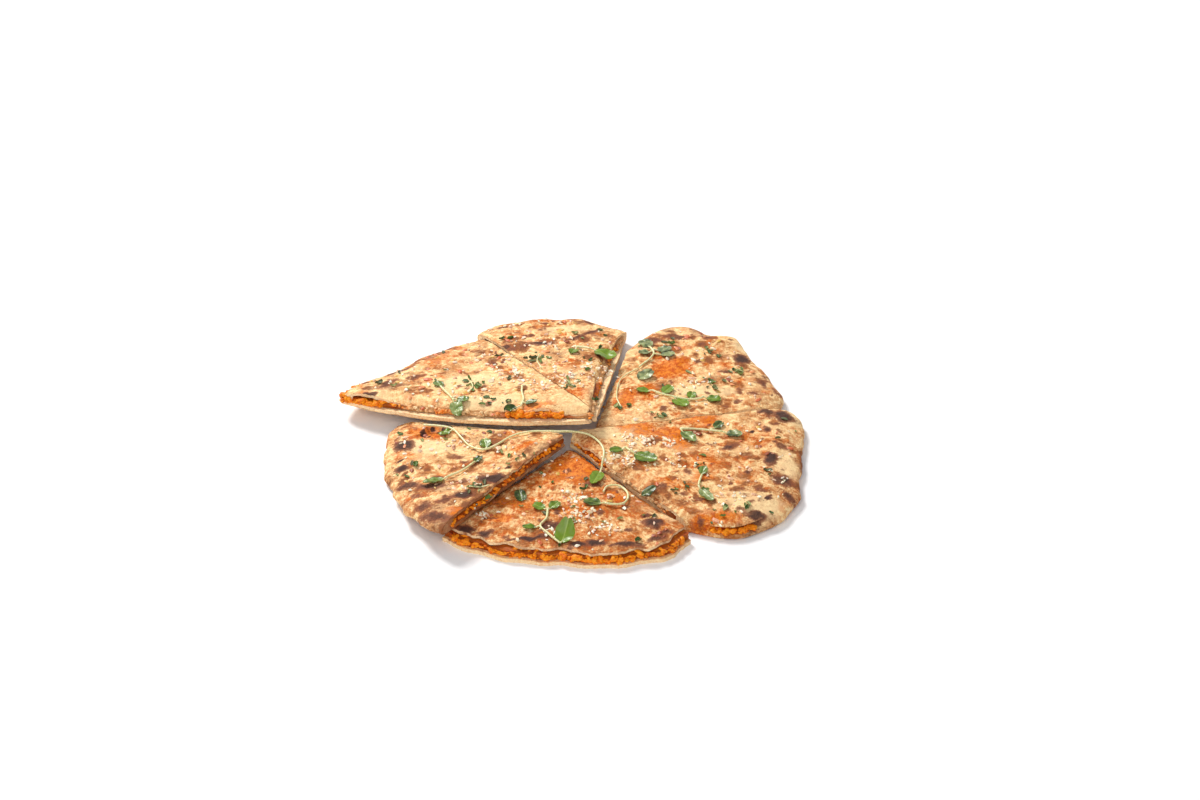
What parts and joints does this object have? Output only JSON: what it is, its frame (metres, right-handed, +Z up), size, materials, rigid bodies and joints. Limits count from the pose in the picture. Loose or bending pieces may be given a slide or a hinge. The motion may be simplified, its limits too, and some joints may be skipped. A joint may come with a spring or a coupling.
{
  "type": "stuffed flatbread",
  "caption": "Round stuffed naan, thin and blistered, cut in wedges that still lie as a round, with a spiced chicken filling at the cuts and sprigs of cress on top.",
  "frame": {"origin": "on the floor, under the middle of the flatbread's bounding box", "axes": "+Z up, through the flatbread's thickness; +X to the right and +Y to the back as it is served, with the open rim at the front"},
  "size_m": [0.2181, 0.2123, 0.0238],
  "materials": {
    "baked_dough": "baked, blistered, floury",
    "spiced_chicken": "moist, coarse",
    "cress": "fresh leaf"
  },
  "bodies": {
    "root": {"bread_back": "baked_dough", "bread_front_left": "baked_dough", "bread_front_lower": "baked_dough", "bread_front_upper": "baked_dough", "bread_left": "baked_dough", "bread_rear_right": "baked_dough", "bread_right": "baked_dough", "cress_back": "cress", "cress_front": "cress", "cress_front_inner": "cress", "cress_front_left": "cress", "cress_left_front": "cress", "cress_left_middle": "cress", "cress_long": "cress", "cress_rear": "cress", "cress_rear_curl": "cress", "cress_rear_front": "cress", "cress_right_front": "cress", "cress_right_inner": "cress", "cress_right_middle": "cress", "cress_right_rear": "cress", "cress_tendril": "cress", "filling_back": "spiced_chicken", "filling_front": "spiced_chicken", "filling_front_left": "spiced_chicken", "filling_left": "spiced_chicken", "filling_rear_right": "spiced_chicken", "filling_right": "spiced_chicken"}
  },
  "joints": []
}
